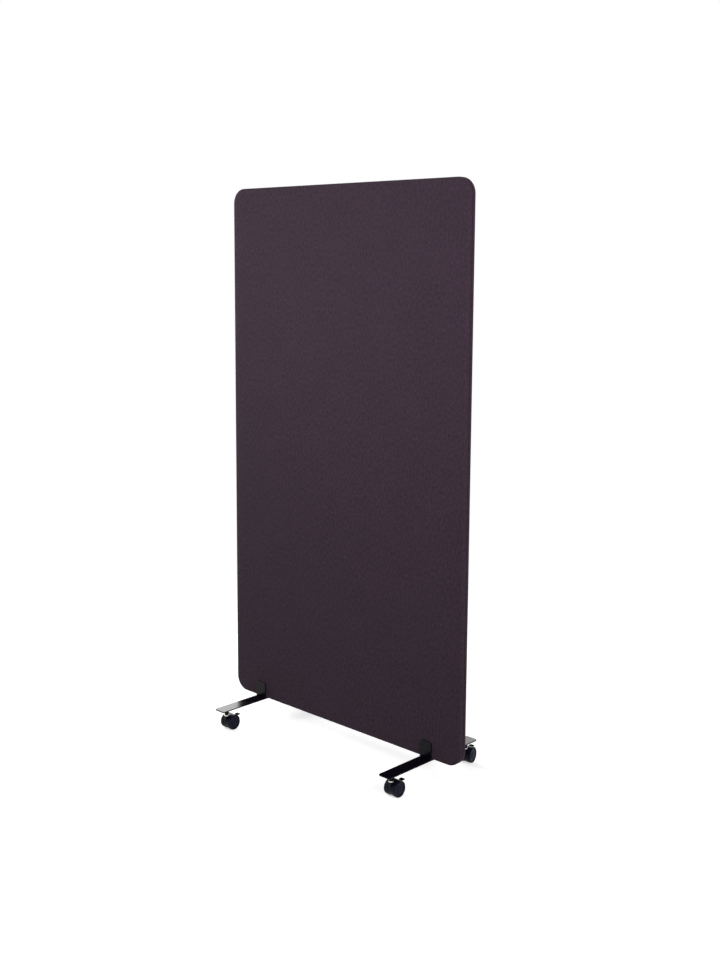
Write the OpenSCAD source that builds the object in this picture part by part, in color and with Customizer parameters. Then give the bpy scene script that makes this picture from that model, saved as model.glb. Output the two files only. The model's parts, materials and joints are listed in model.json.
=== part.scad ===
// Rolling partition: an upholstered panel on two flat-bar feet with twin-wheel casters.
// Millimetres. Origin on the floor under the middle of the panel, +X right seen from the
// front, -Y front, +Z up.

/* [Panel] */
// Width of the upholstered panel
panel_w = 1050; // [900:10:1400]
// Height of the upholstered panel
panel_h = 1800; // [1200:10:2200]
// Thickness of the panel over its covers
panel_t = 34; // [30:1:50]
// Radius of the panel's four corners
corner_r = 50; // [30:1:60]
// Rounding of the padded front and back edges
edge_r = 7; // [4:0.5:9]
// Thickness of the fabric covers
cover_t = 1; // [0.8:0.1:1.5]
// Thickness of the foam wadding under the covers
wadding_t = 3; // [2:0.5:4]
// Width of the beading in the seam between the covers
seam_w = 2; // [1:0.5:4]
// Depth of the beading below the surface of the covers
seam_recess = 0.5; // [0.2:0.1:0.8]

/* [Panel frame] */
// Thickness of the facing boards
board_t = 3; // [2:0.5:5]
// Width of the stiles and rails
frame_w = 65; // [62:1:90]
// Gap around the infill core
core_gap = 0.4; // [0.2:0.1:0.8]
// Diameter of the dowels
dowel_d = 8; // [6:1:10]
// Length of the dowels
dowel_l = 40; // [30:1:60]
// Distance between the two dowels of a joint
dowel_pitch = 30; // [20:1:36]

/* [Feet] */
// Distance of each foot's centre line from the side of the panel
foot_inset = 135; // [115:5:200]
// Length of the foot bars, front to back
foot_l = 430; // [380:5:600]
// Width of the flat bar
bar_w = 47; // [42:1:60]
// Thickness of the flat bar
bar_t = 4; // [3.5:0.5:6]
// Radius of the foot bars' tips
tip_r = 8; // [3:0.5:15]
// Height of the upright plates above the foot bar
upright_h = 57; // [50:1:100]
// Radius of the upright plates' top corners
upright_r = 8; // [3:0.5:12]
// Distance of the bracket screws above the foot bar
screw_rise = 36; // [30:1:40]
// Distance between the two bracket screws of a foot
screw_pitch = 26; // [20:1:28]
// Diameter of the bracket screws
screw_d = 6; // [5:0.5:7]
// Diameter of the bracket screws' heads
screw_head_d = 11; // [10:0.5:14]
// Height of the bracket screws' heads
screw_head_h = 3.4; // [2.5:0.1:4]
// Width across the flats of the bracket screws' sockets
screw_socket = 4; // [3:0.5:5]
// Length of the bracket screws under the head
screw_l = 20; // [18:0.5:24]
// Outer diameter of the threaded inserts
insert_d = 9; // [8:0.5:11]
// Length of the threaded inserts
insert_l = 13; // [9:0.5:14]

/* [Caster stems] */
// Distance of each stem from the tip of the foot bar
stem_inset = 35; // [22:0.5:40]
// Outer diameter of the threaded bosses
boss_d = 15; // [13.5:0.5:18]
// Length of the threaded bosses
boss_l = 20; // [16:0.5:30]
// Diameter of the threaded shank
shank_d = 10; // [8:0.5:11]
// Length of the threaded shank
shank_l = 18; // [12:0.5:18]
// Diameter of the stem's collar
collar_d = 17; // [15:0.5:20]
// Height of the stem's collar
collar_h = 3; // [2:0.1:4]
// Diameter of the swivel pin
pin_d = 8; // [7:0.5:9]
// Length of the swivel pin
pin_l = 22; // [18:0.5:24]
// Height of the grip ring's centre above the pin's end
ring_rise = 5; // [3:0.5:8]
// Thickness of the grip ring
ring_t = 1.2; // [1:0.1:1.6]
// Bite of the grip ring into the pin and into the hood
ring_bite = 0.7; // [0.5:0.1:0.9]

/* [Casters] */
// Diameter of the wheels
wheel_d = 50; // [48:1:60]
// Width of one wheel
wheel_w = 16.5; // [15:0.5:20]
// Rounding of the wheels' treads
tread_r = 2; // [1:0.5:3]
// Thickness of the wheels' rims
rim_t = 4; // [3:0.5:5]
// Depth of the dish in the wheels' outer faces
dish_depth = 2; // [1:0.5:3]
// Thickness of the wheels' discs
disc_t = 3; // [2:0.5:4]
// Diameter of the wheels' hubs
hub_d = 16; // [12:1:20]
// Thickness left at the closed outer end of the wheels' hubs
hub_end_t = 3.5; // [3.5:0.1:5]
// Diameter of the axle
axle_d = 6; // [5:0.5:7]
// Depth of the axle's grooves, where the wheels snap on
snap_depth = 0.4; // [0.2:0.1:0.6]
// Width of the ridge in each wheel that sits in the axle's groove
snap_w = 1.5; // [1:0.1:2]
// Distance from the stem's axis back to the axle
trail = 16; // [15:0.5:18]
// Width of the hood's web between the wheels
web_w = 13; // [12:0.5:16]
// Length of the socket block around the swivel pin
socket_l = 16; // [14:0.5:18]
// Depth of the socket's top below the top of the wheels
socket_drop = 0.3; // [0:0.1:1]
// Radius of the web below the axle
web_r = 23.5; // [18:0.5:24]
// Width of the hood's cap over the wheels
cap_w = 44; // [36:1:46]
// Thickness of the cap
cap_t = 1.5; // [1.5:0.1:3]
// Rounding of the cap's two outer edges
cap_r = 1; // [0.5:0.1:1.4]
// Angle above the horizontal where the cap ends behind the wheels
cap_low = 20; // [18:1:30]
// Angle above the horizontal where the cap ends in front
cap_high = 102; // [96:1:104]

/* [Brakes] */
// Distance of the brake pivot from the axle
pivot_r = 18; // [16:0.5:18]
// Angle of the brake pivot above the horizontal
pivot_a = 45; // [42:1:50]
// Diameter of the brake pivot pin
pivot_d = 3; // [2.5:0.1:4]
// Diameter of the lever's hub
lever_hub_d = 8; // [7:0.5:9]
// Width of the lever's arm
lever_w = 6; // [5:0.5:7]
// Width of the toe pedal
pedal_w = 16; // [12:1:20]
// Length of the toe pedal
pedal_l = 11; // [9:0.5:12]
// Thickness of the toe pedal
pedal_t = 3; // [2.5:0.1:4]
// Rounding of the pedal's far corners
pedal_r = 2.5; // [1:0.5:3]
// Distance of the pedal's near end behind the axle
pedal_back = 29; // [28:0.5:31]
// Height of the pedal's underside above the axle
pedal_rise = 15.5; // [15:0.5:18]
// Width of the brake shoe
shoe_w = 24; // [20:1:40]
// Thickness of the brake shoe
shoe_t = 3; // [2:0.5:4]
// Distance of the brake shoe from the treads when the brake is off
shoe_gap = 2.3; // [2.2:0.1:3]

/* [Casters at rest] */
// Swivel of the front left caster
front_left_turn = 1; // [-30:1:30]
// Swivel of the front right caster
front_right_turn = 0; // [-30:1:30]
// Swivel of the back left caster
back_left_turn = 6; // [-30:1:30]
// Swivel of the back right caster
back_right_turn = 13; // [-30:1:30]

/* [Hidden] */
$fn = 64;

// Clearances
layer_gap = 0.1;      // between nested layers of the panel
bore_play = 0.1;      // on the diameter of every shaft or pin in its bore
screw_play = 0.6;     // on the diameter of the holes the bracket screws pass through
side_play = 0.5;      // between the web and each wheel
turn_gap = 0.3;       // between faces that turn past each other
cap_gap = 0.5;        // between the treads and the hood's cap
slip = 0.01;          // overshoot of a cutting solid past the face it opens
over = 1;             // overshoot where a cut may reach further

// Heights of the stack from the floor up
wheel_r = wheel_d / 2;
socket_top = wheel_d - socket_drop;
collar_z = socket_top + turn_gap;
shank_z = collar_z + collar_h;
bar_z = shank_z + boss_l;
panel_z = bar_z + bar_t;
panel_mid_z = panel_z + panel_h / 2;

// Insets of the panel's layers from its outer surface
wadding_in = cover_t + layer_gap;
core_in = wadding_in + wadding_t;
frame_in = core_in + layer_gap;
core_t = panel_t - 2 * core_in;
frame_t = core_t - 2 * board_t;
inner_w = panel_w - 2 * frame_in - 2 * frame_w;
inner_h = panel_h - 2 * frame_in - 2 * frame_w;

// Feet
foot_x = panel_w / 2 - foot_inset;
stem_y = foot_l / 2 - stem_inset;
plate_y = panel_t / 2;
screw_z = bar_z + bar_t + screw_rise;
screw_hole_d = screw_d + screw_play;
dome_r = 3 / 4 * screw_head_d;
boss_end_t = 1;

// Casters, measured from the axle: u to the back, v up
cap_in = wheel_r + cap_gap;
cap_out = cap_in + cap_t;
wheel_in = web_w / 2 + side_play;
wheel_bore = wheel_w - hub_end_t;
snap_y = wheel_bore - 2 * snap_w;
axle_l = 2 * (wheel_in + wheel_bore - turn_gap);
pin_z = collar_z - pin_l;
ring_z = pin_z + ring_rise;
pivot_u = pivot_r * cos(pivot_a);
pivot_v = pivot_r * sin(pivot_a);
slot_w = lever_w + 2 * turn_gap;
socket_foot = 2;
web_low = cap_low + 6;
shoe_in = wheel_r + shoe_gap;
shoe_low = 7;
shoe_high = cap_low - 4;

// Each caster: place and swivel at rest
FRONT_LEFT = [-foot_x, -stem_y, front_left_turn];
FRONT_RIGHT = [foot_x, -stem_y, front_right_turn];
BACK_LEFT = [-foot_x, stem_y, back_left_turn];
BACK_RIGHT = [foot_x, stem_y, back_right_turn];
CASTERS = [FRONT_LEFT, FRONT_RIGHT, BACK_LEFT, BACK_RIGHT];

// Colours
fabric = [0.26, 0.21, 0.26];
foam = [0.85, 0.84, 0.80];
timber = [0.72, 0.56, 0.38];
board = [0.50, 0.36, 0.24];
card = [0.76, 0.66, 0.50];
black_steel = [0.05, 0.05, 0.06];
zinc = [0.78, 0.78, 0.76];
nylon = [0.09, 0.09, 0.11];
brass = [0.75, 0.60, 0.32];

// ---------------------------------------------------------------- panel

// Outline of the panel seen from the front, drawn in by an inset
module panel_outline(inset) {
    w = panel_w - 2 * inset;
    h = panel_h - 2 * inset;
    r = corner_r - inset;
    union() {
        square([w - 2 * r, h], center = true);
        square([w, h - 2 * r], center = true);
        for (sx = [-1, 1], sz = [-1, 1])
            translate([sx * (w / 2 - r), sz * (h / 2 - r)])
                circle(r = r);
    }
}

// Flat plate of the panel's outline, from y0 back to y1
module panel_plate(inset, y0, y1) {
    translate([0, y1, panel_mid_z])
        rotate([90, 0, 0])
            linear_extrude(y1 - y0)
                panel_outline(inset);
}

// Section of a rounded long edge: flat to the outside at x = 0, face at y = 0
module edge_section(r, depth) {
    translate([0, depth])
        intersection() {
            circle(r = r);
            square([r, r]);
        }
    square([r, depth]);
}

// Half of the padded panel, in front of the seam, drawn in by an inset
module half_body(inset) {
    r = edge_r - inset;
    deep = panel_t / 2 - inset - r;
    face = deep + r;
    turn_r = corner_r - inset - r;
    in_w = panel_w - 2 * corner_r;
    in_h = panel_h - 2 * corner_r;
    translate([0, 0, panel_mid_z])
        rotate([90, 0, 0])
            union() {
                linear_extrude(face)
                    panel_outline(inset + r);
                for (side = [0, 1])
                    mirror([side, 0, 0])
                        translate([in_w / 2 + turn_r, 0, 0])
                            rotate([90, 0, 0])
                                linear_extrude(in_h, center = true)
                                    edge_section(r, deep);
                for (end = [0, 1])
                    mirror([0, end, 0])
                        translate([0, in_h / 2 + turn_r, 0])
                            rotate([90, 0, 90])
                                linear_extrude(in_w, center = true)
                                    edge_section(r, deep);
                for (side = [0, 1], end = [0, 1])
                    mirror([side, 0, 0])
                        mirror([0, end, 0])
                            translate([in_w / 2, in_h / 2, 0])
                                rotate_extrude(angle = 90)
                                    translate([turn_r, 0])
                                        edge_section(r, deep);
            }
}

// One skin of the front half: the body at one inset less a hollow, open at the seam
module front_skin(inset) {
    difference() {
        half_body(inset);
        children();
        panel_plate(-over, -seam_w / 2, over);
    }
}

module to_back() {
    mirror([0, 1, 0])
        children();
}

module fabric_skin() {
    front_skin(0)
        half_body(cover_t);
}

module wadding_skin() {
    front_skin(wadding_in)
        panel_plate(core_in, -core_t / 2, over);
}

module front_cover() {
    color(fabric)
        fabric_skin();
}

module back_cover() {
    color(fabric)
        difference() {
            to_back()
                fabric_skin();
            bracket_holes(screw_hole_d, frame_t / 2);
        }
}

module front_wadding() {
    color(foam)
        wadding_skin();
}

module back_wadding() {
    color(foam)
        difference() {
            to_back()
                wadding_skin();
            bracket_holes(screw_hole_d, frame_t / 2);
        }
}

module edge_beading() {
    color(fabric)
        difference() {
            panel_plate(seam_recess, -seam_w / 2, seam_w / 2);
            panel_plate(core_in, -seam_w, seam_w);
        }
}

module front_board() {
    color(board)
        panel_plate(frame_in, -core_t / 2, -frame_t / 2);
}

module back_board() {
    color(board)
        difference() {
            panel_plate(frame_in, frame_t / 2, core_t / 2);
            bracket_holes(screw_hole_d, frame_t / 2);
        }
}

module stile(side) {
    color(timber)
        difference() {
            intersection() {
                panel_plate(frame_in, -frame_t / 2, frame_t / 2);
                translate([side * (inner_w / 2 + frame_w), 0, panel_mid_z])
                    cube([2 * frame_w, panel_t, panel_h], center = true);
            }
            dowels(bore_play);
        }
}

module rail(end) {
    color(timber)
        difference() {
            translate([0, 0, panel_mid_z + end * (inner_h + frame_w) / 2])
                cube([inner_w, frame_t, frame_w], center = true);
            dowels(bore_play);
            if (end < 0)
                bracket_holes(insert_d + bore_play, frame_t / 2 - insert_l);
        }
}

// The dowels, or their holes when they are given some play
module dowels(play) {
    for (sx = [-1, 1], sz = [-1, 1], step = [-1, 1])
        translate([
            sx * inner_w / 2,
            0,
            panel_mid_z + sz * (inner_h + frame_w) / 2 + step * dowel_pitch / 2
        ])
            rotate([0, 90, 0])
                cylinder(h = dowel_l + play, d = dowel_d + play, center = true);
}

module frame_dowels() {
    color(timber)
        dowels(0);
}

module infill_core() {
    color(card)
        translate([0, 0, panel_mid_z])
            cube([inner_w - 2 * core_gap, frame_t, inner_h - 2 * core_gap], center = true);
}

// ---------------------------------------------------------------- feet

// Places its children at the two bracket screws of a foot, along +Y from y = 0
module at_screws(side) {
    for (step = [-1, 1])
        translate([side * foot_x + step * screw_pitch / 2, 0, screw_z])
            rotate([-90, 0, 0])
                children();
}

// Holes for all bracket screws, from y0 out through the back
module bracket_holes(d, y0) {
    for (side = [-1, 1])
        at_screws(side)
            translate([0, 0, y0 - slip])
                cylinder(h = panel_t + bar_t, d = d);
}

module foot_bar(side) {
    corner = bar_w / 2 - tip_r;
    color(black_steel)
        translate([side * foot_x, 0, bar_z])
            linear_extrude(bar_t) {
                square([bar_w - 2 * tip_r, foot_l], center = true);
                square([bar_w, foot_l - 2 * tip_r], center = true);
                for (sx = [-1, 1], sy = [-1, 1])
                    translate([sx * corner, sy * (foot_l / 2 - tip_r)])
                        circle(r = tip_r);
            }
}

// Upright plate, standing on the foot bar in front of the panel
module upright_plate(side) {
    translate([side * foot_x, -plate_y, panel_z])
        rotate([90, 0, 0])
            linear_extrude(bar_t) {
                translate([-bar_w / 2, 0])
                    square([bar_w, upright_h - upright_r]);
                translate([upright_r - bar_w / 2, 0])
                    square([bar_w - 2 * upright_r, upright_h]);
                for (sx = [-1, 1])
                    translate([sx * (bar_w / 2 - upright_r), upright_h - upright_r])
                        circle(r = upright_r);
            }
}

module front_upright(side) {
    color(black_steel)
        upright_plate(side);
}

module back_upright(side) {
    color(black_steel)
        difference() {
            to_back()
                upright_plate(side);
            bracket_holes(screw_hole_d, frame_t / 2);
        }
}

module bracket_screws(side) {
    color(zinc)
        at_screws(side)
            translate([0, 0, plate_y + bar_t]) {
                translate([0, 0, -screw_l])
                    cylinder(h = screw_l, d = screw_d);
                difference() {
                    intersection() {
                        cylinder(h = screw_head_h, d = screw_head_d);
                        translate([0, 0, screw_head_h - dome_r])
                            sphere(r = dome_r);
                    }
                    translate([0, 0, screw_head_h / 2])
                        cylinder(h = screw_head_h, d = screw_socket / cos(30), $fn = 6);
                }
            }
}

module rail_inserts() {
    color(brass)
        for (side = [-1, 1])
            at_screws(side)
                translate([0, 0, frame_t / 2 - insert_l])
                    difference() {
                        cylinder(h = insert_l, d = insert_d);
                        translate([0, 0, -slip])
                            cylinder(h = insert_l + 2 * slip, d = screw_d + bore_play);
                    }
}

module stem_bosses(side) {
    color(black_steel)
        for (sy = [-1, 1])
            translate([side * foot_x, sy * stem_y, shank_z])
                difference() {
                    cylinder(h = boss_l, d = boss_d);
                    translate([0, 0, -slip])
                        cylinder(h = boss_l - boss_end_t + slip, d = shank_d + bore_play);
                }
}

// ---------------------------------------------------------------- casters

// Places a caster's piece: children are drawn about the stem's axis, trailing along +Y
module at_caster(caster) {
    translate([caster[0], caster[1], 0])
        rotate([0, 0, caster[2]])
            children();
}

// Moves to the axle and turns a drawing in u and v to stand across the axle
module at_axle(caster) {
    at_caster(caster)
        translate([0, trail, wheel_r])
            rotate([90, 0, 90])
                children();
}

module stem(caster) {
    color(zinc)
        at_caster(caster)
            difference() {
                union() {
                    translate([0, 0, shank_z - slip])
                        cylinder(h = shank_l + slip, d = shank_d);
                    translate([0, 0, collar_z])
                        cylinder(h = collar_h, d = collar_d);
                    translate([0, 0, pin_z])
                        cylinder(h = pin_l + slip, d = pin_d);
                }
                translate([0, 0, ring_z])
                    ring_shape(pin_d / 2 - ring_bite - bore_play / 2, pin_d, ring_t + bore_play);
            }
}

// Square-section ring about the stem's axis, centred in height
module ring_shape(inner_r, outer_r, height) {
    difference() {
        cylinder(h = height, r = outer_r, center = true);
        cylinder(h = height + 2 * slip, r = inner_r, center = true);
    }
}

module stem_grip_rings() {
    color(zinc)
        for (caster = CASTERS)
            at_caster(caster)
                translate([0, 0, ring_z])
                    ring_shape(pin_d / 2 - ring_bite, pin_d / 2 + ring_bite, ring_t);
}

// Side view of the hood's web, about the axle: disc, socket block and sector under the cap
module web_profile() {
    front = trail - collar_d / 2 - side_play;
    circle(r = web_r);
    translate([-trail - socket_l / 2, -socket_foot])
        square([trail + socket_l / 2 - front, socket_top - wheel_r + socket_foot]);
    intersection() {
        circle(r = cap_in + cap_t / 2);
        polygon([
            [0, 0],
            [wheel_d, wheel_d * tan(web_low)],
            [wheel_d, wheel_d],
            [-front, wheel_d],
            [-front, 0]
        ]);
    }
}

// Section of the cap over the wheels, rounded outside: radius along x, axle along y
module cap_section() {
    translate([cap_in, -cap_w / 2])
        square([cap_t - cap_r, cap_w]);
    translate([cap_in, cap_r - cap_w / 2])
        square([cap_t, cap_w - 2 * cap_r]);
    for (side = [0, 1])
        mirror([0, side])
            translate([cap_out - cap_r, cap_w / 2 - cap_r])
                intersection() {
                    circle(r = cap_r);
                    square(cap_r);
                }
}

module hood(caster) {
    color(nylon)
        at_axle(caster)
            difference() {
                union() {
                    linear_extrude(web_w, center = true)
                        web_profile();
                    rotate([0, 0, cap_low])
                        rotate_extrude(angle = cap_high - cap_low)
                            cap_section();
                }
                cylinder(h = web_w + 2 * slip, d = axle_d + bore_play, center = true);
                translate([pivot_u, pivot_v, 0])
                    cylinder(h = web_w + 2 * slip, d = pivot_d + bore_play, center = true);
                lever_slot();
                stem_socket();
            }
}

// Slot in which the brake lever tips, drawn about the axle
module lever_slot() {
    translate([pivot_u - lever_hub_d / 2 - turn_gap, pivot_v - lever_hub_d, -slot_w / 2])
        cube([wheel_d, 2 * lever_hub_d, slot_w]);
}

// Bore for the swivel pin with the groove for its grip ring, drawn about the axle
module stem_socket() {
    translate([-trail, pin_z - wheel_r - turn_gap, 0])
        rotate([-90, 0, 0])
            union() {
                cylinder(h = pin_l + turn_gap, d = pin_d + bore_play);
                translate([0, 0, ring_rise + turn_gap])
                    cylinder(h = ring_t + 2 * turn_gap, r = pin_d / 2 + ring_bite + turn_gap, center = true);
            }
}

// Half section of a wheel: radius along x, from the inner face at y = 0 outwards
module wheel_section() {
    difference() {
        union() {
            square([wheel_r - tread_r, wheel_w]);
            translate([0, tread_r])
                square([wheel_r, wheel_w - 2 * tread_r]);
            for (y = [tread_r, wheel_w - tread_r])
                translate([wheel_r - tread_r, y])
                    circle(r = tread_r);
        }
        bore_section();
        translate([hub_d / 2, -slip])
            square([wheel_r - rim_t - hub_d / 2, wheel_w - dish_depth - disc_t + slip]);
        translate([hub_d / 2, wheel_w - dish_depth])
            square([wheel_r - rim_t - hub_d / 2, dish_depth + slip]);
    }
}

// Half section of a wheel's blind bore, narrowed by the ridge that snaps onto the axle
module bore_section() {
    bore_r = (axle_d + bore_play) / 2;
    difference() {
        translate([-slip, -slip])
            square([bore_r + slip, wheel_bore + slip]);
        translate([bore_r - snap_depth, snap_y])
            square([snap_depth + slip, snap_w]);
    }
}

// A wheel on one side of the web; side is +1 towards +X and -1 towards -X
module wheel(caster, side) {
    color(nylon)
        at_axle(caster)
            mirror([0, 0, side < 0 ? 1 : 0])
                translate([0, 0, wheel_in])
                    rotate_extrude()
                        wheel_section();
}

module axle(caster) {
    color(zinc)
        at_axle(caster)
            difference() {
                cylinder(h = axle_l, d = axle_d, center = true);
                for (side = [-1, 1])
                    translate([0, 0, side * (wheel_in + snap_y + snap_w / 2)])
                        ring_shape(axle_d / 2 - snap_depth, axle_d, snap_w + 2 * turn_gap);
            }
}

module brake_pin(caster) {
    color(zinc)
        at_axle(caster)
            translate([pivot_u, pivot_v, 0])
                cylinder(h = web_w, d = pivot_d, center = true);
}

// Side view of the lever's arm from its hub out to the pedal and down to the shoe
module lever_profile() {
    hub_r = lever_hub_d / 2;
    shoe_mid = shoe_in + shoe_t / 2;
    translate([pivot_u, pivot_v])
        circle(r = hub_r);
    polygon([
        [pivot_u, pivot_v + hub_r],
        [pedal_back, pedal_rise + pedal_t],
        [pedal_back + hub_r, pedal_rise],
        [shoe_mid * cos(shoe_high) + shoe_t / 2, shoe_mid * sin(shoe_high)],
        [shoe_mid * cos(shoe_low), shoe_mid * sin(shoe_low)],
        [shoe_in * cos(shoe_high), shoe_in * sin(shoe_high)],
        [pivot_u + hub_r * cos(60), pivot_v - hub_r * sin(60)]
    ]);
}

// Outline of the pedal from above, rounded at its far end
module pedal_outline() {
    translate([0, -pedal_w / 2])
        square([pedal_l - pedal_r, pedal_w]);
    translate([0, pedal_r - pedal_w / 2])
        square([pedal_l, pedal_w - 2 * pedal_r]);
    for (side = [-1, 1])
        translate([pedal_l - pedal_r, side * (pedal_w / 2 - pedal_r)])
            circle(r = pedal_r);
}

module brake_lever(caster) {
    color(nylon)
        at_axle(caster)
            difference() {
                union() {
                    linear_extrude(lever_w, center = true)
                        lever_profile();
                    translate([pedal_back, pedal_rise, 0])
                        rotate([-90, 0, 0])
                            linear_extrude(pedal_t)
                                pedal_outline();
                    rotate([0, 0, shoe_low])
                        rotate_extrude(angle = shoe_high - shoe_low)
                            translate([shoe_in, -shoe_w / 2])
                                square([shoe_t, shoe_w]);
                }
                translate([pivot_u, pivot_v, 0])
                    cylinder(h = lever_w * 2, d = pivot_d + bore_play, center = true);
            }
}

// ---------------------------------------------------------------- drawing

stile(-1);  // left_stile
stile(1);  // right_stile
rail(1);  // top_rail
rail(-1);  // bottom_rail
frame_dowels();
infill_core();
front_board();
back_board();
front_wadding();
back_wadding();
front_cover();
back_cover();
edge_beading();

foot_bar(-1);  // left_foot_bar
foot_bar(1);  // right_foot_bar
front_upright(-1);  // left_front_upright
back_upright(-1);  // left_back_upright
front_upright(1);  // right_front_upright
back_upright(1);  // right_back_upright
stem_bosses(-1);  // left_stem_bosses
stem_bosses(1);  // right_stem_bosses
bracket_screws(-1);  // left_bracket_screws
bracket_screws(1);  // right_bracket_screws
rail_inserts();
stem_grip_rings();

stem(FRONT_LEFT);  // front_left_stem
hood(FRONT_LEFT);  // front_left_hood
wheel(FRONT_LEFT, 1);  // front_left_inner_wheel
wheel(FRONT_LEFT, -1);  // front_left_outer_wheel
axle(FRONT_LEFT);  // front_left_axle
brake_lever(FRONT_LEFT);  // front_left_brake_lever
brake_pin(FRONT_LEFT);  // front_left_brake_pin

stem(FRONT_RIGHT);  // front_right_stem
hood(FRONT_RIGHT);  // front_right_hood
wheel(FRONT_RIGHT, -1);  // front_right_inner_wheel
wheel(FRONT_RIGHT, 1);  // front_right_outer_wheel
axle(FRONT_RIGHT);  // front_right_axle
brake_lever(FRONT_RIGHT);  // front_right_brake_lever
brake_pin(FRONT_RIGHT);  // front_right_brake_pin

stem(BACK_LEFT);  // back_left_stem
hood(BACK_LEFT);  // back_left_hood
wheel(BACK_LEFT, 1);  // back_left_inner_wheel
wheel(BACK_LEFT, -1);  // back_left_outer_wheel
axle(BACK_LEFT);  // back_left_axle
brake_lever(BACK_LEFT);  // back_left_brake_lever
brake_pin(BACK_LEFT);  // back_left_brake_pin

stem(BACK_RIGHT);  // back_right_stem
hood(BACK_RIGHT);  // back_right_hood
wheel(BACK_RIGHT, -1);  // back_right_inner_wheel
wheel(BACK_RIGHT, 1);  // back_right_outer_wheel
axle(BACK_RIGHT);  // back_right_axle
brake_lever(BACK_RIGHT);  // back_right_brake_lever
brake_pin(BACK_RIGHT);  // back_right_brake_pin
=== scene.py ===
import json
import math

import bmesh
import bpy
from mathutils import Matrix, Vector


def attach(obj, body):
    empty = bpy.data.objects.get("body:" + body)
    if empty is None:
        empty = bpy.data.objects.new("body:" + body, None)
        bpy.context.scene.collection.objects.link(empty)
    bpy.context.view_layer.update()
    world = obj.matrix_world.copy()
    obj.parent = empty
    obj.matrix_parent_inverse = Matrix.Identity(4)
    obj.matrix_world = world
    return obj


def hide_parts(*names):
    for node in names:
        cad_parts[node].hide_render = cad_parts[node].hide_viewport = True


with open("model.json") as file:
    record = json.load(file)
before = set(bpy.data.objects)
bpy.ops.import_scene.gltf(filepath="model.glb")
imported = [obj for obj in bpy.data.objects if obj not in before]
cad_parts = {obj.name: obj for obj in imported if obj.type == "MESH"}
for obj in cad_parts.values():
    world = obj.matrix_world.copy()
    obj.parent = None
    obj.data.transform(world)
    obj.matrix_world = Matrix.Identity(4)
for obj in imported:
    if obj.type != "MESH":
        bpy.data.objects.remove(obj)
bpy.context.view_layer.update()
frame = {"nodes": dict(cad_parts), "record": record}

# Sizes in metres, as in the CAD part
PANEL_W, PANEL_H, PANEL_T = 1.050, 1.800, 0.034
PANEL_Z = 0.077
PANEL_MID = PANEL_Z + PANEL_H / 2
CORNER_R, EDGE_R = 0.050, 0.007
SEAM_W, SEAM_RECESS = 0.002, 0.0005
CORE_IN = 0.0041
FOOT_X, FOOT_L = 0.390, 0.430
BAR_W, BAR_T, BAR_Z, TIP_R = 0.047, 0.004, 0.073, 0.008
UPRIGHT_H, UPRIGHT_R = 0.057, 0.008
STEM_Y = 0.180
WHEEL_R, WHEEL_W, WHEEL_IN = 0.025, 0.0165, 0.007
HUB_R, RIM_T, DISH, DISC_T = 0.008, 0.004, 0.002, 0.003
AXLE_R, HUB_END = 0.003, 0.0035
TRAIL = 0.016
PEDAL_BACK, PEDAL_RISE, PEDAL_T, PEDAL_W = 0.029, 0.0155, 0.003, 0.016
# Where each stem stands, and how many degrees its caster is turned
CASTERS = {
    "front_left": (-FOOT_X, -STEM_Y, 1.0),
    "front_right": (FOOT_X, -STEM_Y, 0.0),
    "back_left": (-FOOT_X, STEM_Y, 6.0),
    "back_right": (FOOT_X, STEM_Y, 13.0),
}


# ------------------------------------------------------------------ node helpers

class Shader:
    """A material's node tree, built a node at a time."""

    def __init__(self, name):
        self.material = bpy.data.materials.new(name)
        self.material.use_nodes = True
        self.tree = self.material.node_tree
        self.tree.nodes.clear()
        self.out = self.tree.nodes.new("ShaderNodeOutputMaterial")

    def node(self, kind, ins=None, **props):
        made = self.tree.nodes.new("ShaderNode" + kind)
        for key, value in props.items():
            setattr(made, key, value)
        for key, value in (ins or {}).items():
            if isinstance(value, bpy.types.NodeSocket):
                self.tree.links.new(value, made.inputs[key])
            else:
                made.inputs[key].default_value = value
        return made

    def math(self, op, a, b=0.0):
        return self.node("Math", {0: a, 1: b}, operation=op).outputs[0]

    def object_point(self):
        return self.node("TexCoord").outputs["Object"]

    def noise(self, vector, scale, detail=2.0, rough=0.5):
        ins = {"Vector": vector, "Scale": scale, "Detail": detail, "Roughness": rough}
        return self.node("TexNoise", ins).outputs["Fac"]

    def scaled(self, vector, scale):
        return self.node("VectorMath", {0: vector, 1: scale}, operation="MULTIPLY").outputs[0]

    def spread(self, value, low, high):
        """A 0 to 1 value taken to low to high."""
        ins = {"Value": value, "To Min": low, "To Max": high}
        return self.node("MapRange", ins).outputs[0]

    def tint(self, color, factor):
        """A colour, lightened and darkened by a factor around 1."""
        return self.node("VectorMath", {0: color, 3: factor}, operation="SCALE").outputs[0]

    def bump(self, height, distance, strength):
        ins = {"Height": height, "Distance": distance, "Strength": strength}
        return self.node("Bump", ins).outputs[0]

    def principled(self, **ins):
        names = {k.replace("_", " "): v for k, v in ins.items()}
        made = self.node("BsdfPrincipled", names)
        self.tree.links.new(made.outputs[0], self.out.inputs[0])
        return self.material


def linear(r, g, b):
    """An sRGB colour, 0 to 255, in linear light."""
    def one(v):
        v /= 255
        return v / 12.92 if v <= 0.04045 else ((v + 0.055) / 1.055) ** 2.4
    return one(r), one(g), one(b)


# ------------------------------------------------------------------ materials

CLOTH_PLACE = "cloth"                 # the attribute with the place on the flat cloth
THREAD, THREAD_WANDER = 0.0011, 0.0004  # spacing of the threads, and how far they stray
ROUND_ACROSS, ROUND_ALONG = 0.6, 0.25  # how a thread's height falls off at its sides and ends
SLUB_RISE = 0.7                       # how much a slub adds to the height
# How far each cause lightens and darkens the cloth; the hollow and crest tones are painted shade
# in the weave's hollows and a painted highlight on its crests
SLUB_TONE, FLECK_TONE, STREAK_TONE, CLOUD_TONE = 0.20, 0.16, 0.78, 0.12
HOLLOW_SHADE_TONE, CREST_HIGHLIGHT_TONE, MEAN_TONE = -0.12, 0.06, 1.02


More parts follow.
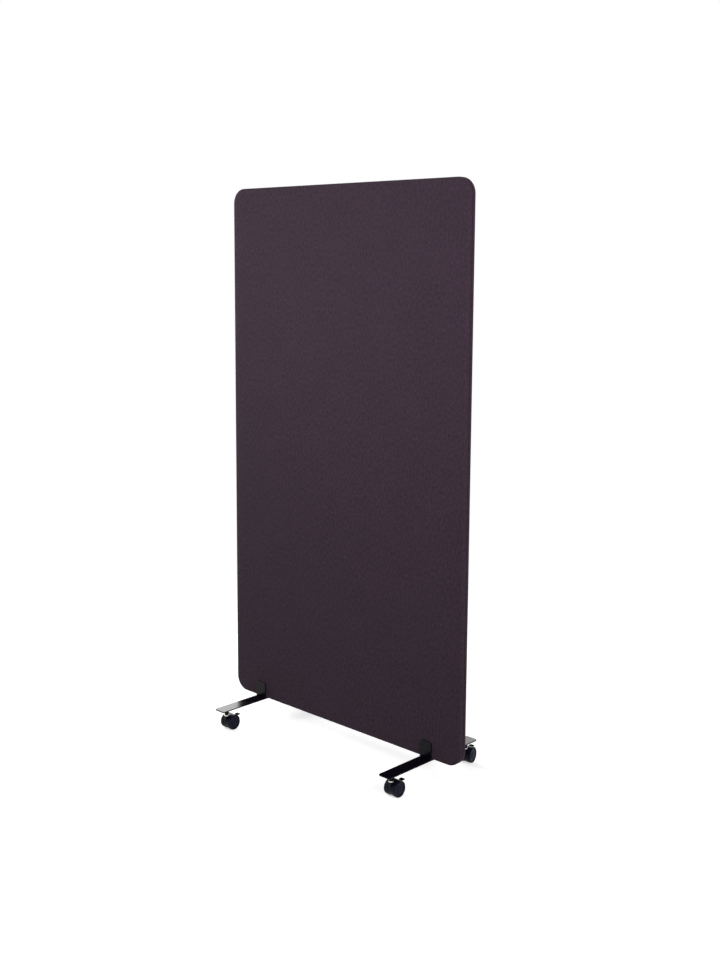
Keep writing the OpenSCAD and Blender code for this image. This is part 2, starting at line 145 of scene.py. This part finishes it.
def cloth_material(name, color, depth):
    """Plain weave with slubs, flecks and thread groups of uneven tone."""
    s = Shader(name)
    place = s.node("Attribute", attribute_name=CLOTH_PLACE).outputs["Vector"]
    split = s.node("SeparateXYZ", {0: place})
    u, v = split.outputs[0], split.outputs[1]
    wander = s.spread(s.noise(place, 90, 2.0), -THREAD_WANDER, THREAD_WANDER)
    across = s.math("DIVIDE", s.math("ADD", u, wander), THREAD)
    along = s.math("DIVIDE", s.math("SUBTRACT", v, wander), THREAD)
    su = s.math("ABSOLUTE", s.math("SINE", s.math("MULTIPLY", across, math.pi)))
    sv = s.math("ABSOLUTE", s.math("SINE", s.math("MULTIPLY", along, math.pi)))
    warp = s.math("MULTIPLY", s.math("POWER", su, ROUND_ACROSS),
                  s.math("POWER", sv, ROUND_ALONG))
    weft = s.math("MULTIPLY", s.math("POWER", su, ROUND_ALONG),
                  s.math("POWER", sv, ROUND_ACROSS))
    column, row = s.math("FLOOR", across), s.math("FLOOR", along)
    parity = s.math("PINGPONG", s.math("ADD", column, row), 1.0)
    height = s.node("Mix", {0: parity, 2: warp, 3: weft}).outputs[0]
    # each warp and weft thread has a tone of its own, and swells into slubs along its length
    slub_u = s.noise(s.scaled(place, (420.0, 16.0, 1.0)), 1.0, 2.0)
    slub_v = s.noise(s.scaled(place, (20.0, 380.0, 1.0)), 1.0, 2.0)
    slub = s.node("Mix", {0: parity, 2: slub_u, 3: slub_v}).outputs[0]
    fleck = s.noise(place, 300, 3.0, 0.7)
    cloud = s.noise(place, 7, 3.0)
    # groups of threads, spun thick and thin, that still show from some metres away
    streak = s.noise(s.scaled(place, (150.0, 85.0, 1.0)), 1.0, 3.0, 0.6)
    tone = s.math("ADD", s.spread(slub, -SLUB_TONE, SLUB_TONE),
                  s.spread(fleck, -FLECK_TONE, FLECK_TONE))
    tone = s.math("ADD", tone, s.spread(streak, -STREAK_TONE, STREAK_TONE))
    tone = s.math("ADD", tone, s.spread(cloud, -CLOUD_TONE, CLOUD_TONE))
    # painted shade in the hollows between threads, painted highlight on the thread crests
    tone = s.math("ADD", tone, s.spread(height, HOLLOW_SHADE_TONE, CREST_HIGHLIGHT_TONE))
    factor = s.math("ADD", tone, MEAN_TONE)
    rise = s.math("ADD", height, s.math("MULTIPLY", slub, SLUB_RISE))
    normal = s.bump(rise, depth, 0.7)
    rough = s.spread(fleck, 0.82, 0.98)
    return s.principled(
        Base_Color=s.tint(color, factor), Roughness=rough, Normal=normal,
        Specular_IOR_Level=0.18, Sheen_Weight=0.05, Sheen_Roughness=0.45,
        Sheen_Tint=(0.62, 0.52, 0.62, 1.0))


def coat_material(name, color, rough, grain, specular, depth):
    """Powder coat: a gloss film over a fine orange peel, with faint rubbed patches."""
    s = Shader(name)
    place = s.object_point()
    peel = s.noise(place, grain, 2.0, 0.55)
    patches = s.noise(place, 24, 3.0)
    speck = s.noise(place, 1900, 1.0)
    tone = s.math("ADD", s.spread(patches, 0.85, 1.15), s.spread(speck, -0.12, 0.12))
    return s.principled(
        Base_Color=s.tint(color, tone), Roughness=s.spread(patches, rough * 0.85, rough * 1.2),
        Normal=s.bump(peel, depth, 0.8), Specular_IOR_Level=specular)


def plastic_material(name, color, rough, specular):
    """Moulded nylon with a fine spark-eroded grain and light scuffs."""
    s = Shader(name)
    place = s.object_point()
    grain = s.noise(place, 2600, 2.0, 0.6)
    flow = s.noise(s.scaled(place, (60.0, 60.0, 180.0)), 1.0, 3.0)
    scuff = s.noise(s.scaled(place, (160.0, 700.0, 160.0)), 1.0, 4.0, 0.7)
    tone = s.math("ADD", s.spread(flow, 0.86, 1.14), s.spread(scuff, -0.10, 0.16))
    return s.principled(
        Base_Color=s.tint(color, tone), Roughness=s.spread(scuff, rough * 0.8, rough * 1.25),
        Normal=s.bump(grain, 0.00004, 0.6), Specular_IOR_Level=specular)


def metal_material(name, color, rough, stretch):
    """Plated or turned metal, with fine drawn marks and a slight cloudiness."""
    s = Shader(name)
    place = s.object_point()
    marks = s.noise(s.scaled(place, stretch), 1.0, 3.0, 0.7)
    cloud = s.noise(place, 140, 2.0)
    tone = s.math("ADD", s.spread(cloud, 0.90, 1.08), s.spread(marks, -0.08, 0.08))
    return s.principled(
        Base_Color=s.tint(color, tone), Metallic=1.0,
        Roughness=s.spread(marks, rough * 0.8, rough * 1.3),
        Normal=s.bump(marks, 0.00002, 0.5))


def wood_material(name, color, stretch, contrast):
    """Planed softwood, pressed board or card: grain lines along one way."""
    s = Shader(name)
    place = s.object_point()
    grain = s.noise(s.scaled(place, stretch), 1.0, 4.0, 0.65)
    fibre = s.noise(place, 700, 2.0)
    tone = s.math("ADD", s.spread(grain, 1 - contrast, 1 + contrast),
                  s.spread(fibre, -0.06, 0.06))
    return s.principled(
        Base_Color=s.tint(color, tone), Roughness=s.spread(fibre, 0.6, 0.85),
        Normal=s.bump(grain, 0.0002, 0.5))


AUBERGINE = linear(56, 42, 54)
MATERIALS = {
    "cover_fabric": cloth_material("woven_cover", AUBERGINE, 0.00025),
    # the beading is the cover's own cloth painted much darker: painted shade standing in for the
    # shadow in the seam groove
    "beading": cloth_material("beading_painted_seam_shade", linear(16, 12, 15), 0.0002),
    "black_steel": coat_material("powder_coat", linear(4, 2, 9), 0.23, 900, 0.10, 0.00001),
    "nylon": plastic_material("hood_nylon", linear(9, 9, 13), 0.40, 0.09),
    "wheel_nylon": plastic_material("wheel_nylon", linear(11, 12, 30), 0.46, 0.09),
    "zinc": metal_material("zinc_plate", linear(222, 222, 218), 0.28, (300.0, 300.0, 2600.0)),
    "insert_brass": metal_material("turned_brass", linear(205, 170, 100), 0.3,
                                   (2200.0, 300.0, 300.0)),
    "timber": wood_material("planed_timber", linear(206, 168, 120), (260.0, 260.0, 9.0), 0.14),
    "hardboard": wood_material("hardboard", linear(140, 104, 72), (180.0, 180.0, 180.0), 0.10),
    "core_board": wood_material("core_board", linear(190, 166, 130), (60.0, 60.0, 60.0), 0.08),
    "wadding": wood_material("foam_wadding", linear(226, 224, 216), (300.0, 300.0, 300.0), 0.06),
}
# the brake pedals are moulded in a duller, blacker nylon than the hoods
PEDAL_NYLON = plastic_material("pedal_nylon", linear(4, 4, 6), 0.5, 0.01)
node_slot = {p["node"]: p["material_slot"] for p in frame["record"]["subparts"]}
for node_name, node_object in frame["nodes"].items():
    is_pedal = node_name.endswith("_brake_lever")
    finish = PEDAL_NYLON if is_pedal else MATERIALS[node_slot[node_name]]
    node_object.data.materials.clear()
    node_object.data.materials.append(finish)


# ------------------------------------------------------------------ mesh helpers

FLAT_RIM = "flat_rim"               # marks the edges between a rounded rim and a flat face
HARD_TURN, CLOTH_TURN = 32.0, 50.0  # degrees; a sharper turn than this shows as an edge
MERGE, AXIS_MERGE = 1e-6, 1e-7      # metres; points nearer than this become one
LATHE_STEPS, ROUND_STEPS = 96, 4
PLATE_ARC = 12                      # steps round each corner of a plate


def outline(corners, arc, gap=None):
    """Samples of a closed convex outline with rounded corners, anticlockwise: (point, normal).

    corners is a list of (x, y, radius), each rounded in arc steps; a straight side is cut
    every gap metres, if given.
    """
    count = len(corners)
    samples = []
    for i in range(count):
        before = Vector(corners[i - 1][:2])
        here = Vector(corners[i][:2])
        after = Vector(corners[(i + 1) % count][:2])
        r = corners[i][2]
        side_in = (here - before).normalized()
        side = (after - here).normalized()
        n_in = Vector((side_in.y, -side_in.x))
        n_out = Vector((side.y, -side.x))
        turn = math.acos(max(-1.0, min(1.0, n_in.dot(n_out))))
        reach = r * math.tan(turn / 2)
        centre = here - side_in * reach - n_in * r
        start = math.atan2(n_in.y, n_in.x)
        for k in range(arc + 1):
            a = start + turn * k / arc
            normal = Vector((math.cos(a), math.sin(a)))
            samples.append((centre + normal * r, normal))
        if gap:
            next_r = corners[(i + 1) % count][2]
            first = samples[-1][0]
            length = (after - here).length - reach - next_r
            steps = max(1, round(length / gap))
            for k in range(1, steps):
                samples.append((first + side * (length * k / steps), n_out))
    return samples


def rect(w, h, r, low_r=None):
    """Corners of a rectangle about the origin, or standing on y = 0 where low_r is given."""
    if low_r is None:
        return [(w / 2, -h / 2, r), (w / 2, h / 2, r), (-w / 2, h / 2, r), (-w / 2, -h / 2, r)]
    return [(w / 2, 0, low_r), (w / 2, h, r), (-w / 2, h, r), (-w / 2, 0, low_r)]


def finish_mesh(name, bm, slot, body, sharp_turn=HARD_TURN):
    """Links a bmesh as a piece that rides on a body and takes a slot's finish."""
    bmesh.ops.delete(bm, geom=[e for e in bm.edges if not e.link_faces], context="EDGES")
    bmesh.ops.recalc_face_normals(bm, faces=bm.faces)
    mesh = bpy.data.meshes.new(name)
    bm.to_mesh(mesh)
    bm.free()
    mesh.polygons.foreach_set("use_smooth", [True] * len(mesh.polygons))
    mesh.set_sharp_from_angle(angle=math.radians(sharp_turn))
    rim = mesh.attributes.get(FLAT_RIM)
    if rim:
        flags = [mark.value > 0.5 for mark in rim.data]
        for edge, flag in zip(mesh.edges, flags):
            edge.use_edge_sharp = edge.use_edge_sharp or flag
        mesh.attributes.remove(mesh.attributes[FLAT_RIM])
    mesh.materials.append(MATERIALS[slot])
    piece = bpy.data.objects.new(name, mesh)
    bpy.context.scene.collection.objects.link(piece)
    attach(piece, body)
    return piece


def add_rings(bm, samples, rows, to_world):
    """Rings of vertices for rows of (inset, level), joined by quads; returns the rings."""
    rings = []
    for inset, level in rows:
        ring = []
        for point, normal in samples:
            flat = point - normal * inset
            ring.append(bm.verts.new(to_world @ Vector((flat.x, flat.y, level))))
        rings.append(ring)
    join_rings(bm, rings)
    return rings


def join_rings(bm, rings):
    """Quads between each closed ring of vertices and the next."""
    count = len(rings[0])
    for low, high in zip(rings, rings[1:]):
        for i in range(count):
            j = (i + 1) % count
            bm.faces.new((low[i], low[j], high[j], high[i]))


def slab(name, corners, thick, bevel, steps, to_world, slot, body):
    """A plate with the given outline and edges rounded in steps, from level 0 up to thick."""
    bm = bmesh.new()
    mark = bm.edges.layers.float.new(FLAT_RIM)
    low = [(bevel * (1 - math.sin(a)), bevel * (1 - math.cos(a)))
           for a in [math.pi / 2 * k / steps for k in range(steps + 1)]]
    rows = low + [(inset, thick - level) for inset, level in reversed(low)]
    rings = add_rings(bm, outline(corners, PLATE_ARC), rows, to_world)
    for cap in (bm.faces.new(rings[0]), bm.faces.new(rings[-1])):
        for edge in cap.edges:
            edge[mark] = 1.0
    return finish_mesh(name, bm, slot, body)


def lathe(name, profile, to_world, slot, body):
    """A closed profile of (radius, level) turned about the local Z axis."""
    bm = bmesh.new()
    rings = []
    for k in range(LATHE_STEPS):
        a = 2 * math.pi * k / LATHE_STEPS
        rings.append([bm.verts.new(to_world @ Vector((r * math.cos(a), r * math.sin(a), z)))
                      for r, z in profile])
    rings.append(rings[0])
    count = len(profile)
    for one, two in zip(rings, rings[1:]):
        for i in range(count):
            j = (i + 1) % count
            bm.faces.new((one[i], one[j], two[j], two[i]))
    bmesh.ops.remove_doubles(bm, verts=bm.verts, dist=AXIS_MERGE)
    return finish_mesh(name, bm, slot, body)


def rounded(points):
    """A closed profile of (x, y, radius) with each corner rounded to its radius."""
    made = []
    count = len(points)
    for i, (x, y, r) in enumerate(points):
        here = Vector((x, y))
        if r == 0:
            made.append((x, y))
            continue
        before = Vector(points[i - 1][:2]) - here
        after = Vector(points[(i + 1) % count][:2]) - here
        angle = before.angle(after)
        reach = r / math.tan(angle / 2)
        a = here + before.normalized() * reach
        b = here + after.normalized() * reach
        centre = here + (before.normalized() + after.normalized()).normalized() * (
            r / math.sin(angle / 2))
        va, vb = a - centre, b - centre
        sweep = va.angle_signed(vb)
        for k in range(ROUND_STEPS + 1):
            spun = Matrix.Rotation(-sweep * k / ROUND_STEPS, 2) @ va
            made.append(tuple(centre + spun))
    return made


# ------------------------------------------------------------------ panel

STRAIGHT, SEAM_STRAIGHT = 0.0238, 0.008  # mesh spacing on the covers and the beading
PANEL_ARC = 24                           # steps round each corner of the panel
LIP_R, LIP_STEPS = 0.0009, 4             # the fold where the cloth turns in at the seam
SIDE_STEPS, EDGE_STEPS = 8, 8
EDGE_CROWN = 0.0003                      # swell of the side between the seam and the rim
FACE_CROWN, CROWN_REACH = 0.0005, 0.07   # swell of the face, and how far in it builds up
ROLL, ROLL_REACH = 0.0008, 0.012         # how far the face sinks at the rim, and how far in
FACE_ROWS = (0.009, 0.012, 0.016, 0.022, 0.030, 0.040, CORNER_R)
RIPPLE, RIPPLE_TURNS = 0.00012, 40       # gathers of the cloth round the corners
RIPPLE_FROM, RIPPLE_DEPTH = 0.01, 0.004  # least slant of the outline, and how far in
TURNED_IN = 0.05                         # cloth length given to the hidden inner rows
CORD_STEPS, CORD_ROUND = 8, 0.9          # the beading's half round
CORD_ROW = 0.0005                        # cloth length from row to row of the beading


def half_profile():
    """Rows of the padded half from the seam out to the face: (inset, depth, cloth length).

    Depth is measured from the panel's middle plane; cloth length is how much cloth
    lies between the row and the start of the flat face.
    """
    face = PANEL_T / 2
    rows = []
    seam = SEAM_W / 2
    last_turn = math.pi / 2 - math.atan(ROLL / ROLL_REACH)
    for k in range(LIP_STEPS + 1):
        a = math.pi / 2 * k / LIP_STEPS
        rows.append((LIP_R * (1 - math.sin(a)), seam + LIP_R * (1 - math.cos(a))))
    flat_from, flat_to = rows[-1][1], face - ROLL - EDGE_R
    for k in range(1, SIDE_STEPS):
        t = k / SIDE_STEPS
        crown = -EDGE_CROWN * math.sin(math.pi * t)
        rows.append((crown, flat_from + (flat_to - flat_from) * t))
    for k in range(EDGE_STEPS + 1):
        a = last_turn * k / EDGE_STEPS
        rows.append((EDGE_R * (1 - math.cos(a)), flat_to + EDGE_R * math.sin(a)))
    measured = []
    cloth = 0.0
    last = rows[-1]
    for row in reversed(rows):
        cloth += math.dist(row, last)
        last = row
        measured.append((*row, cloth))
    measured.reverse()
    for inset in FACE_ROWS:
        measured.append((inset, face + crown_at(inset), 0.0))
    return measured


def crown_at(inset):
    """How far the padded face stands proud at a distance in from the outline.

    The padding swells a little towards the middle and thins out where the cloth is
    drawn round the edges.
    """
    inward = inset - EDGE_R
    swell = FACE_CROWN * (1 - math.exp(-inward / CROWN_REACH))
    return swell - ROLL * math.exp(-inward / ROLL_REACH)


def padded_half(name, side, nodes):
    """The cover and wadding of one half of the panel; side is -1 in front, 1 behind."""
    bm = bmesh.new()
    cloth = bm.verts.layers.float_vector.new(CLOTH_PLACE)
    samples = outline(rect(PANEL_W, PANEL_H, CORNER_R), PANEL_ARC, STRAIGHT)
    profile = half_profile()

    def vertex(x, z, depth, u, v):
        made = bm.verts.new((x, side * depth, PANEL_MID + z))
        made[cloth] = (u, v, 0.0)
        return made

    rings = []
    inner = [(CORE_IN, PANEL_T / 2 - CORE_IN, TURNED_IN), (CORE_IN, SEAM_W / 2, TURNED_IN)]
    for inset, depth, spare in inner + profile:
        ring = []
        for point, normal in samples:
            ripple = 0.0
            corner = min(abs(normal.x), abs(normal.y))
            if corner > RIPPLE_FROM and inset < RIPPLE_DEPTH:
                around = math.atan2(normal.y, normal.x)
                ripple = RIPPLE * math.sin(around * RIPPLE_TURNS) * corner
            at = point - normal * (inset + ripple)
            flat = point - normal * max(inset, EDGE_R) + normal * spare
            ring.append(vertex(at.x, at.y, depth, flat.x, flat.y))
        rings.append(ring)
    join_rings(bm, rings)
    # inner face against the facing board, and the flat middle of the outer face
    bm.faces.new(rings[0])
    half_w, half_h = PANEL_W / 2 - CORNER_R, PANEL_H / 2 - CORNER_R
    columns = round(2 * half_w / STRAIGHT)
    lines = round(2 * half_h / STRAIGHT)
    grid = []
    for i in range(columns + 1):
        x = -half_w + 2 * half_w * i / columns
        strip = []
        for j in range(lines + 1):
            z = -half_h + 2 * half_h * j / lines
            inset = min(PANEL_W / 2 - abs(x), PANEL_H / 2 - abs(z))
            strip.append(vertex(x, z, PANEL_T / 2 + crown_at(inset), x, z))
        grid.append(strip)
    for i in range(columns):
        for j in range(lines):
            bm.faces.new((grid[i][j], grid[i + 1][j], grid[i + 1][j + 1], grid[i][j + 1]))
    bmesh.ops.remove_doubles(bm, verts=bm.verts, dist=MERGE)
    piece = finish_mesh(name, bm, "cover_fabric", "base", CLOTH_TURN)
    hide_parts(*nodes)


def edge_seam():
    """The sewn beading that closes the seam all round the panel's edge."""
    bm = bmesh.new()
    cloth = bm.verts.layers.float_vector.new(CLOTH_PLACE)
    samples = outline(rect(PANEL_W, PANEL_H, CORNER_R), PANEL_ARC, SEAM_STRAIGHT)
    half = SEAM_W / 2
    round_in = half * CORD_ROUND
    rows = [(CORE_IN, half), (SEAM_RECESS + round_in, half)]
    for k in range(1, CORD_STEPS):
        a = math.pi * k / CORD_STEPS
        rows.append((SEAM_RECESS + round_in * (1 - math.sin(a)), half * math.cos(a)))
    rows += [(SEAM_RECESS + round_in, -half), (CORE_IN, -half)]
    rings = []
    length = 0.0
    last = samples[0][0]
    along = []
    for point, normal in samples:
        length += (point - last).length
        last = point
        along.append(length)
    for k, (inset, depth) in enumerate(rows):
        ring = []
        for (point, normal), s in zip(samples, along):
            at = point - normal * inset
            made = bm.verts.new((at.x, depth, PANEL_MID + at.y))
            made[cloth] = (k * CORD_ROW, s, 0.0)
            ring.append(made)
        rings.append(ring)
    join_rings(bm, rings + [rings[0]])
    piece = finish_mesh("seam_beading", bm, "beading", "base", CLOTH_TURN)
    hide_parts("edge_beading")


padded_half("front_panel_cover", -1, ("front_cover", "front_wadding"))
padded_half("back_panel_cover", 1, ("back_cover", "back_wadding"))
edge_seam()


# ------------------------------------------------------------------ feet

BAR_SOFT, BAR_STEPS = 0.0005, 4      # rounding of the edges, and its steps
PLATE_SOFT, PLATE_STEPS = 0.0008, 6


def foot(side, word):
    """The bar and the two uprights of a foot; side is -1 on the left, 1 on the right."""
    base = Matrix.Translation((side * FOOT_X, 0, BAR_Z))
    bar = slab(f"{word}_bar", rect(BAR_W, FOOT_L, TIP_R), BAR_T, BAR_SOFT, BAR_STEPS, base,
               "black_steel", "base")
    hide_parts(f"{word}_foot_bar")
    for way, place in ((-1, "front"), (1, "back")):
        stand = Matrix.Translation((side * FOOT_X, way * PANEL_T / 2, PANEL_Z))
        turn = Matrix.Rotation(math.radians(90), 4, "X")
        if way > 0:
            turn = Matrix.Rotation(math.radians(180), 4, "Z") @ turn
        plate = slab(f"{word}_{place}_plate", rect(BAR_W, UPRIGHT_H, UPRIGHT_R, PLATE_SOFT),
                     BAR_T, PLATE_SOFT, PLATE_STEPS, stand @ turn, "black_steel", "base")
        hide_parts(f"{word}_{place}_upright")


foot(-1, "left")
foot(1, "right")


# ------------------------------------------------------------------ casters

BORE_GAP = 0.00005                     # between a wheel's bore and its axle
TREAD_SOFT, WELL_SOFT, LIP_SOFT = 0.002, 0.0006, 0.0004  # rounding of a wheel's corners
RIBS, RIB_STEP, RIB_MARGIN = 4, 0.0016, 0.0022
RIB_SECTION = ((-0.0004, -0.0002), (0.0004, -0.0002), (0.0003, 0.0003), (0, 0.0004),
               (-0.0003, 0.0003))
SOFT_ANGLE, SOFT_STEPS = 35.0, 2       # only edges sharper than this many degrees are rounded
HOOD_SOFT, LEVER_SOFT, STEM_SOFT = 0.0007, 0.0004, 0.0003
BOSS_SOFT, SCREW_SOFT = 0.0006, 0.0002


def wheel_profile():
    """Closed half section of a wheel: (radius, distance out from the inner face)."""
    hollow = WHEEL_W - DISH - DISC_T
    dish_floor = WHEEL_W - DISH
    rim = WHEEL_R - RIM_T
    # each corner: radius, distance out, and how far it is rounded
    return rounded([
        (AXLE_R + BORE_GAP, 0, 0),
        (HUB_R, 0, LIP_SOFT),
        (HUB_R, hollow, WELL_SOFT),
        (rim, hollow, WELL_SOFT),
        (rim, 0, LIP_SOFT),
        (WHEEL_R, 0, TREAD_SOFT),
        (WHEEL_R, WHEEL_W, TREAD_SOFT),
        (rim, WHEEL_W, 0.0008),
        (rim - 0.0008, dish_floor, 0.0007),
        # the raised ring round the hub, and the shallow cap inside it
        (HUB_R + 0.0035, dish_floor, 0.0012),
        (HUB_R + 0.0012, WHEEL_W - 0.0004, 0.0008),
        (HUB_R - 0.0022, WHEEL_W, 0.0006),
        (HUB_R - 0.0030, WHEEL_W - 0.0007, 0.0003),
        (0, WHEEL_W - 0.0005, 0),
        (0, WHEEL_W - HUB_END, 0),
        (AXLE_R + BORE_GAP, WHEEL_W - HUB_END, 0),
    ])


def caster(word, x, y, degrees):
    """The two wheels of a caster and the ribs on its pedal."""
    swing = Matrix.Translation((x, y, 0)) @ Matrix.Rotation(math.radians(degrees), 4, "Z")
    to_axle = Matrix.Translation((0, TRAIL, WHEEL_R))
    # local axes about the axle: X to the back, Y up, Z across to +X
    frame_turn = Matrix(((0, 0, 1, 0), (1, 0, 0, 0), (0, 1, 0, 0), (0, 0, 0, 1)))
    axle = swing @ to_axle @ frame_turn
    right_is_outer = x > 0
    for way in (-1, 1):
        place = "outer" if (way > 0) == right_is_outer else "inner"
        flip = Matrix.Scale(way, 4, Vector((0, 0, 1)))
        shift = Matrix.Translation((0, 0, WHEEL_IN))
        wheel = lathe(f"{word}_{place}_roller", wheel_profile(), axle @ flip @ shift,
                      "wheel_nylon", f"{word}_{place}_wheel")
        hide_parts(f"{word}_{place}_wheel")
    # anti-slip ribs across the pedal
    bm = bmesh.new()
    rib_end = PEDAL_W / 2 - RIB_MARGIN
    for k in range(RIBS):
        u = PEDAL_BACK + RIB_MARGIN + k * RIB_STEP
        v = PEDAL_RISE + PEDAL_T
        ends = []
        for w in (-rib_end, rib_end):
            ends.append([bm.verts.new(axle @ Vector((u + a, v + b, w)))
                         for a, b in RIB_SECTION])
        join_rings(bm, ends)
        bm.faces.new(ends[0])
        bm.faces.new(ends[1])
    ribs = finish_mesh(f"{word}_pedal_ribs", bm, "nylon", f"{word}_brake_lever")
    ribs.data.materials[0] = PEDAL_NYLON


def soften(node_name, width):
    """Rounds a CAD node's sharp edges with modifiers; its own mesh stays as it is."""
    piece = frame["nodes"][node_name]
    weld = piece.modifiers.new("weld", "WELD")
    weld.merge_threshold = MERGE
    bevel = piece.modifiers.new("bevel", "BEVEL")
    bevel.width = width
    bevel.segments = SOFT_STEPS
    bevel.limit_method = "ANGLE"
    bevel.angle_limit = math.radians(SOFT_ANGLE)
    bevel.harden_normals = False


for caster_name, (cx, cy, turn_deg) in CASTERS.items():
    caster(caster_name, cx, cy, turn_deg)
    soften(f"{caster_name}_hood", HOOD_SOFT)
    soften(f"{caster_name}_brake_lever", LEVER_SOFT)
    soften(f"{caster_name}_stem", STEM_SOFT)
for foot_side in ("left", "right"):
    soften(f"{foot_side}_stem_bosses", BOSS_SOFT)
    soften(f"{foot_side}_bracket_screws", SCREW_SOFT)


# ------------------------------------------------------------------ camera, light, floor

# The photograph's camera: azimuth, downward pitch and roll in degrees, and its place
CAMERA_TURN = (43.733, 7.957, 0.336)
CAMERA_PLACE = (2.7605, -2.8051, 1.6251)
CAMERA_SENSOR, CAMERA_LENS, CAMERA_SHIFT = 36, 45.425, -0.0494
CAMERA_CLIP = (0.05, 100)

WHITE = (1, 1, 1, 1)
WORLD_LEVEL = 0.08                # how bright the white surroundings are for the object
FLOOR_GLOW = 0.54                 # added to the lit floor near the object, where it is seen
FLOOR_SEEN = (0.85, 0.85, 0.85)
FLOOR_TONE = (0.27, 0.25, 0.25)   # the floor's colour in the light it throws on the object
FLOOR_NEAR, FLOOR_FAR = 0.7, 2.2  # its shadow fades out between these distances
FLOOR_REACH = 30.0

# name, place, target, width, height, power in watts
SOFTBOXES = (
    ("key", (-0.10, -1.62, 1.86), (0.0, 0.0, 1.45), 1.8, 0.8, 23),
    ("side", (3.0, -0.80, 2.15), (0.5, 0.0, 1.45), 1.0, 1.6, 70),
    ("left", (-3.0, -0.15, 1.7), (-0.5, 0.0, 1.4), 0.6, 1.6, 55),
    ("back_left", (-2.97, 1.83, 1.5), (-0.57, -0.57, 0.6), 1.6, 2.2, 59),
    ("back_right", (-1.83, 2.97, 1.5), (0.57, 0.57, 0.6), 1.6, 2.2, 34),
)


def photo_camera():
    """The camera that was fitted to the photograph, with the panel's outline."""
    azimuth, pitch, roll = (math.radians(d) for d in CAMERA_TURN)
    back = Vector((math.sin(azimuth) * math.cos(pitch), -math.cos(azimuth) * math.cos(pitch),
                   math.sin(pitch)))
    right = Vector((math.cos(azimuth), math.sin(azimuth), 0))
    up = back.cross(right)
    right, up = (right * math.cos(roll) + up * math.sin(roll),
                 up * math.cos(roll) - right * math.sin(roll))
    camera = bpy.data.objects.new("camera", bpy.data.cameras.new("camera"))
    bpy.context.scene.collection.objects.link(camera)
    turn = Matrix((right, up, back)).transposed().to_4x4()
    camera.matrix_world = Matrix.Translation(CAMERA_PLACE) @ turn
    camera.data.sensor_width = CAMERA_SENSOR
    camera.data.lens = CAMERA_LENS
    camera.data.shift_y = CAMERA_SHIFT
    camera.data.clip_start, camera.data.clip_end = CAMERA_CLIP
    bpy.context.scene.camera = camera


def softbox(name, place, target, width, height, power):
    """A rectangular lamp at place, facing target."""
    lamp = bpy.data.lights.new(name, "AREA")
    lamp.shape = "RECTANGLE"
    lamp.size, lamp.size_y = width, height
    lamp.energy = power
    made = bpy.data.objects.new(name, lamp)
    bpy.context.scene.collection.objects.link(made)
    made.location = place
    made.rotation_mode = "QUATERNION"
    made.rotation_quaternion = (Vector(target) - Vector(place)).to_track_quat("-Z", "Y")


def white_for_view(tree):
    """1 for camera, glossy and transmission rays, else 0."""
    path = tree.nodes.new("ShaderNodeLightPath")
    either = tree.nodes.new("ShaderNodeMath")
    either.operation = "MAXIMUM"
    tree.links.new(path.outputs["Is Camera Ray"], either.inputs[0])
    tree.links.new(path.outputs["Is Glossy Ray"], either.inputs[1])
    both = tree.nodes.new("ShaderNodeMath")
    both.operation = "MAXIMUM"
    tree.links.new(either.outputs[0], both.inputs[0])
    tree.links.new(path.outputs["Is Transmission Ray"], both.inputs[1])
    return both.outputs[0]


def make_world():
    """White surroundings where they are seen, dim ones as far as they light the object."""
    world = bpy.data.worlds.new("studio")
    bpy.context.scene.world = world
    world.use_nodes = True
    tree = world.node_tree
    tree.nodes.clear()
    out = tree.nodes.new("ShaderNodeOutputWorld")
    seen = white_for_view(tree)
    level = tree.nodes.new("ShaderNodeMapRange")
    level.inputs["To Min"].default_value = WORLD_LEVEL
    level.inputs["To Max"].default_value = 1.0
    tree.links.new(seen, level.inputs["Value"])
    ground = tree.nodes.new("ShaderNodeBackground")
    ground.inputs["Color"].default_value = WHITE
    tree.links.new(level.outputs[0], ground.inputs["Strength"])
    tree.links.new(ground.outputs[0], out.inputs[0])


def make_floor():
    """A pale floor with a soft shadow near the object."""
    mesh = bpy.data.meshes.new("floor")
    r = FLOOR_REACH
    mesh.from_pydata([(-r, -r, 0), (r, -r, 0), (r, r, 0), (-r, r, 0)], [], [(0, 1, 2, 3)])
    floor = bpy.data.objects.new("floor", mesh)
    bpy.context.scene.collection.objects.link(floor)
    s = Shader("pale_floor")
    mesh.materials.append(s.material)
    # near the object the floor keeps its shadow; further out it runs into the white backdrop
    lit = s.node("BsdfDiffuse", {"Color": (*FLOOR_SEEN, 1.0)})
    glow = s.node("Emission", {"Color": WHITE, "Strength": FLOOR_GLOW})
    near = s.node("AddShader", {0: lit.outputs[0], 1: glow.outputs[0]})
    far = s.node("Emission", {"Color": WHITE, "Strength": 1.0})
    away = s.node("VectorMath", {0: s.object_point()}, operation="LENGTH").outputs["Value"]
    ins = {"Value": away, "From Min": FLOOR_NEAR, "From Max": FLOOR_FAR}
    fade = s.node("MapRange", ins, interpolation_type="SMOOTHSTEP").outputs[0]
    seen = s.node("MixShader", {0: fade, 1: near.outputs[0], 2: far.outputs[0]})
    plain = s.node("BsdfDiffuse", {"Color": (*FLOOR_TONE, 1.0)})
    ins = {0: white_for_view(s.tree), 1: plain.outputs[0], 2: seen.outputs[0]}
    s.tree.links.new(s.node("MixShader", ins).outputs[0], s.out.inputs[0])


photo_camera()
make_world()
make_floor()
for softbox_values in SOFTBOXES:
    softbox(*softbox_values)

scene = bpy.context.scene
scene.view_settings.view_transform = "Standard"
